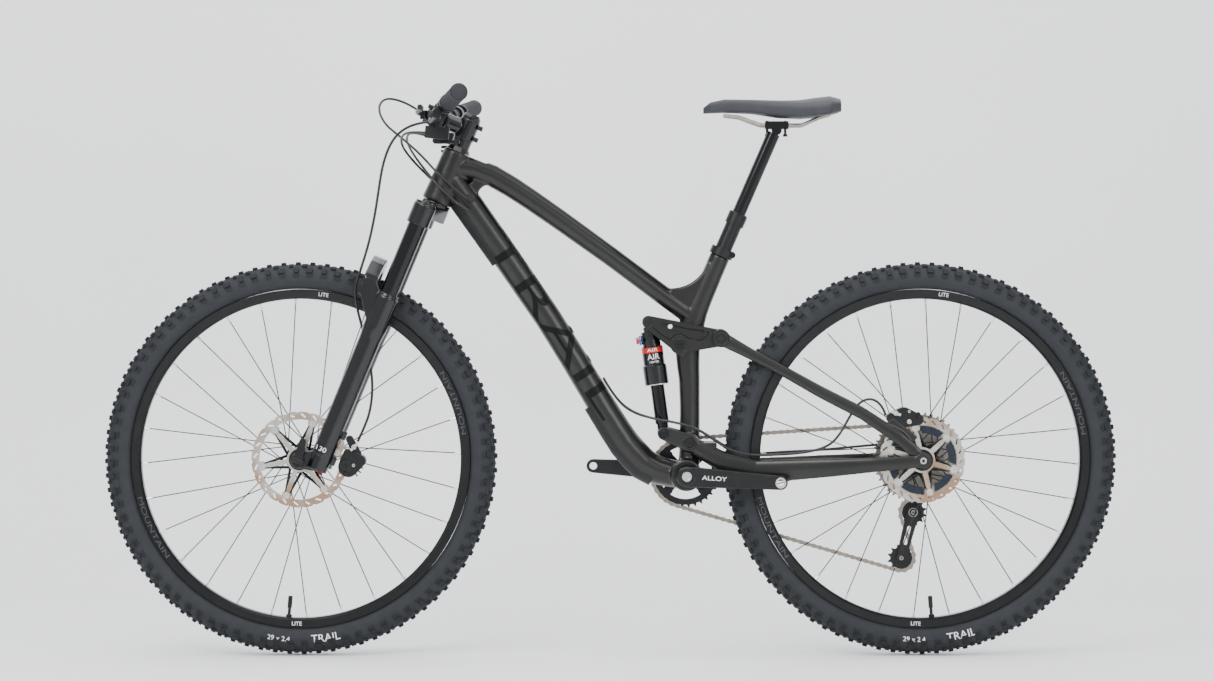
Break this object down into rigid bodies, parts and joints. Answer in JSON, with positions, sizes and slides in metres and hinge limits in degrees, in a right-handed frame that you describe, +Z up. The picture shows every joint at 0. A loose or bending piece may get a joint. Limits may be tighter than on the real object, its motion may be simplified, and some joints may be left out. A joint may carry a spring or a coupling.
{
  "type": "mountain bike",
  "caption": "Full-suspension trail bike: air-sprung fork and rocker-driven shock, disc brakes, wide knobby tyres, dropper seatpost, single chainring drive.",
  "frame": {"origin": "on the ground, midway between the two axles, in the middle plane of the bike", "axes": "+X to the rear, +Y to the drive side, +Z up"},
  "size_m": [1.9026, 0.775, 1.0587],
  "materials": {
    "frame_paint": "satin dark paint",
    "guard": "ribbed soft guard",
    "black_metal": "satin anodised",
    "silver": "brushed",
    "steel": "worn",
    "rotor_steel": "ground, heat tinted",
    "spoke_black": "black",
    "fork_black": "gloss",
    "stanchion": "hard anodised",
    "tyre": "matt",
    "rim": "satin",
    "saddle": "leather-look cover",
    "grip": "matt",
    "hose": "satin",
    "red_anodised": "anodised",
    "blue_anodised": "anodised",
    "plastic": "moulded"
  },
  "bodies": {
    "frame": {"main_frame": "frame_paint", "frame_guards": "guard", "frame_bearings": "silver", "seat_clamp": "black_metal", "dropper_outer": "black_metal"},
    "steering": {"fork_crown": "fork_black", "stanchions": "stanchion", "stem": "black_metal", "stem_hardware": "silver", "handlebar": "black_metal", "grips": "grip", "brake_masters": "black_metal", "shift_pods": "plastic", "bar_hoses": "hose", "front_brake_hose": "hose"},
    "fork_slider": {"fork_lowers": "fork_black", "front_axle": "black_metal", "front_caliper": "black_metal"},
    "front_wheel": {"front_tyre": "tyre", "front_rim": "rim", "front_spokes": "spoke_black", "front_hub": "black_metal", "front_rotor": "rotor_steel", "front_valve": "black_metal"},
    "axle_lever": {"front_axle_lever": "black_metal"},
    "rebound_adjuster": {"rebound_knob": "red_anodised"},
    "compression_adjuster": {"compression_dial": "blue_anodised"},
    "left_brake_lever": {"brake_lever_left": "black_metal"},
    "right_brake_lever": {"brake_lever_right": "black_metal"},
    "upshift_lever": {"shift_lever": "black_metal"},
    "downshift_lever": {"release_lever": "black_metal"},
    "dropper_remote": {"dropper_lever": "black_metal"},
    "saddle_assembly": {"dropper_inner": "stanchion", "saddle_rails": "steel", "saddle": "saddle"},
    "crankset": {"crank_arm_left": "black_metal", "crank_arm_right": "black_metal", "chainring": "black_metal"},
    "rear_triangle": {"chainstay": "frame_paint", "rear_axle": "silver", "derailleur_body": "black_metal", "chain": "steel", "rear_hoses": "hose"},
    "rear_wheel": {"rear_tyre": "tyre", "rear_rim": "rim", "rear_spokes": "spoke_black", "rear_hub": "black_metal", "rear_rotor": "rotor_steel", "rear_valve": "black_metal"},
    "sprockets": {"cassette": "steel"},
    "upper_stays": {"seatstay": "frame_paint", "rear_caliper": "black_metal"},
    "rocker_link": {"rocker": "frame_paint"},
    "shock_upper": {"shock_can": "black_metal"},
    "shock_lower": {"shock_shaft": "stanchion"},
    "shock_switch": {"shock_lever": "blue_anodised"},
    "shock_rebound": {"shock_knob": "red_anodised"},
    "cage": {"derailleur_cage": "black_metal"},
    "upper_pulley": {"guide_pulley": "plastic"},
    "lower_pulley": {"tension_pulley": "plastic"}
  },
  "joints": [
    {"name": "steer", "type": "hinge", "parent": "frame", "child": "steering", "pos_m": [-0.3258, 0, 0.8508], "axis": [0.3827, 0, 0.9239], "range_deg": [-58, 58], "deforming": ["bar_hoses"]},
    {"name": "fork_travel", "type": "slide", "parent": "steering", "child": "fork_slider", "axis": [0.3827, 0, 0.9239], "range_m": [0, 0.13], "stiffness_N_per_m": 6000, "springref_m": -0.01, "deforming": ["front_brake_hose"]},
    {"name": "front_wheel_spin", "type": "hinge", "parent": "fork_slider", "child": "front_wheel", "pos_m": [-0.5813, 0, 0.37], "axis": [0, -1, 0], "continuous": true},
    {"name": "front_axle_lever_fold", "type": "hinge", "parent": "fork_slider", "child": "axle_lever", "pos_m": [-0.5813, -0.0872, 0.37], "axis": [0.9239, 0, -0.3827], "range_deg": [0, 100]},
    {"name": "rebound_turn", "type": "hinge", "parent": "fork_slider", "child": "rebound_adjuster", "pos_m": [-0.55243, 0.065, 0.34286], "axis": [0.3827, 0, 0.9239], "range_deg": [-150, 150]},
    {"name": "compression_turn", "type": "hinge", "parent": "steering", "child": "compression_adjuster", "pos_m": [-0.34119, 0.065, 0.85284], "axis": [0.3827, 0, 0.9239], "range_deg": [-90, 90]},
    {"name": "left_brake_squeeze", "type": "hinge", "parent": "steering", "child": "left_brake_lever", "pos_m": [-0.33888, -0.236, 1.00677], "axis": [0, 0, 1], "range_deg": [0, 18], "stiffness_Nm_per_rad": 1.5, "springref_deg": -8.59},
    {"name": "right_brake_squeeze", "type": "hinge", "parent": "steering", "child": "right_brake_lever", "pos_m": [-0.33888, 0.236, 1.00677], "axis": [0, 0, -1], "range_deg": [0, 18], "stiffness_Nm_per_rad": 1.5, "springref_deg": -8.59},
    {"name": "upshift_push", "type": "hinge", "parent": "steering", "child": "upshift_lever", "pos_m": [-0.31704, 0.152, 0.95908], "axis": [0, 0, 1], "range_deg": [0, 20], "stiffness_Nm_per_rad": 0.5, "springref_deg": -5.73},
    {"name": "downshift_push", "type": "hinge", "parent": "steering", "child": "downshift_lever", "pos_m": [-0.31704, 0.152, 0.95108], "axis": [0, 0, 1], "range_deg": [0, 12], "stiffness_Nm_per_rad": 0.5, "springref_deg": -5.73},
    {"name": "dropper_push", "type": "hinge", "parent": "steering", "child": "dropper_remote", "pos_m": [-0.31704, -0.152, 0.95908], "axis": [0, 0, -1], "range_deg": [0, 20], "stiffness_Nm_per_rad": 0.5, "springref_deg": -5.73},
    {"name": "dropper_travel", "type": "slide", "parent": "frame", "child": "saddle_assembly", "axis": [0.3987, 0, 0.9171], "range_m": [-0.125, 0], "stiffness_N_per_m": 120, "springref_m": 0.3},
    {"name": "crank_spin", "type": "hinge", "parent": "frame", "child": "crankset", "pos_m": [0.142, 0, 0.34], "axis": [0, -1, 0], "continuous": true},
    {"name": "main_pivot", "type": "hinge", "parent": "frame", "child": "rear_triangle", "pos_m": [0.148, 0, 0.4005], "axis": [0, -1, 0], "range_deg": [0, 17.4], "stiffness_Nm_per_rad": 2400, "springref_deg": -1.72, "deforming": ["chain", "rear_hoses"]},
    {"name": "rear_wheel_spin", "type": "hinge", "parent": "rear_triangle", "child": "rear_wheel", "pos_m": [0.5813, 0, 0.37], "axis": [0, -1, 0], "continuous": true},
    {"name": "sprocket_spin", "type": "hinge", "parent": "rear_triangle", "child": "sprockets", "pos_m": [0.5813, 0, 0.37], "axis": [0, -1, 0], "continuous": true},
    {"name": "seatstay_pivot", "type": "hinge", "parent": "rear_triangle", "child": "upper_stays", "pos_m": [0.5813, 0, 0.37], "axis": [0, -1, 0], "range_deg": [-7.03, 0]},
    {"name": "rocker_pivot", "type": "hinge", "parent": "frame", "child": "rocker_link", "pos_m": [0.1295, 0, 0.5845], "axis": [0, -1, 0], "range_deg": [0, 57.46]},
    {"name": "shock_upper_eye", "type": "hinge", "parent": "rocker_link", "child": "shock_upper", "pos_m": [0.0715, 0, 0.626], "axis": [0, -1, 0], "range_deg": [-53.01, 0]},
    {"name": "shock_travel", "type": "slide", "parent": "shock_upper", "child": "shock_lower", "axis": [-0.1358, 0, 0.9907], "range_m": [0, 0.0525]},
    {"name": "shock_switch_turn", "type": "hinge", "parent": "shock_upper", "child": "shock_switch", "pos_m": [0.05603, 0, 0.59158], "axis": [-0.9907, 0, -0.1358], "range_deg": [0, 60]},
    {"name": "shock_rebound_turn", "type": "hinge", "parent": "shock_upper", "child": "shock_rebound", "pos_m": [0.05603, 0, 0.59158], "axis": [-0.9907, 0, -0.1358], "range_deg": [-120, 120]},
    {"name": "cage_swing", "type": "hinge", "parent": "rear_triangle", "child": "cage", "pos_m": [0.5716, 0, 0.2662], "axis": [0, -1, 0], "range_deg": [-12, 18], "stiffness_Nm_per_rad": 3},
    {"name": "guide_pulley_spin", "type": "hinge", "parent": "cage", "child": "upper_pulley", "pos_m": [0.5716, 0, 0.2662], "axis": [0, -1, 0], "continuous": true},
    {"name": "tension_pulley_spin", "type": "hinge", "parent": "cage", "child": "lower_pulley", "pos_m": [0.5496, 0, 0.1798], "axis": [0, -1, 0], "continuous": true}
  ],
  "couplings": [
    {"joint": "sprocket_spin", "follows": "crank_spin", "ratio": 1},
    {"joint": "guide_pulley_spin", "follows": "crank_spin", "ratio": -2.6667},
    {"joint": "tension_pulley_spin", "follows": "crank_spin", "ratio": 2.6667},
    {"joint": "seatstay_pivot", "follows": "main_pivot", "ratio": -0.4013},
    {"joint": "rocker_pivot", "follows": "main_pivot", "ratio": 3.2964},
    {"joint": "shock_upper_eye", "follows": "main_pivot", "ratio": -3.0409},
    {"joint": "shock_travel", "follows": "main_pivot", "m_per_rad": 0.16836}
  ]
}
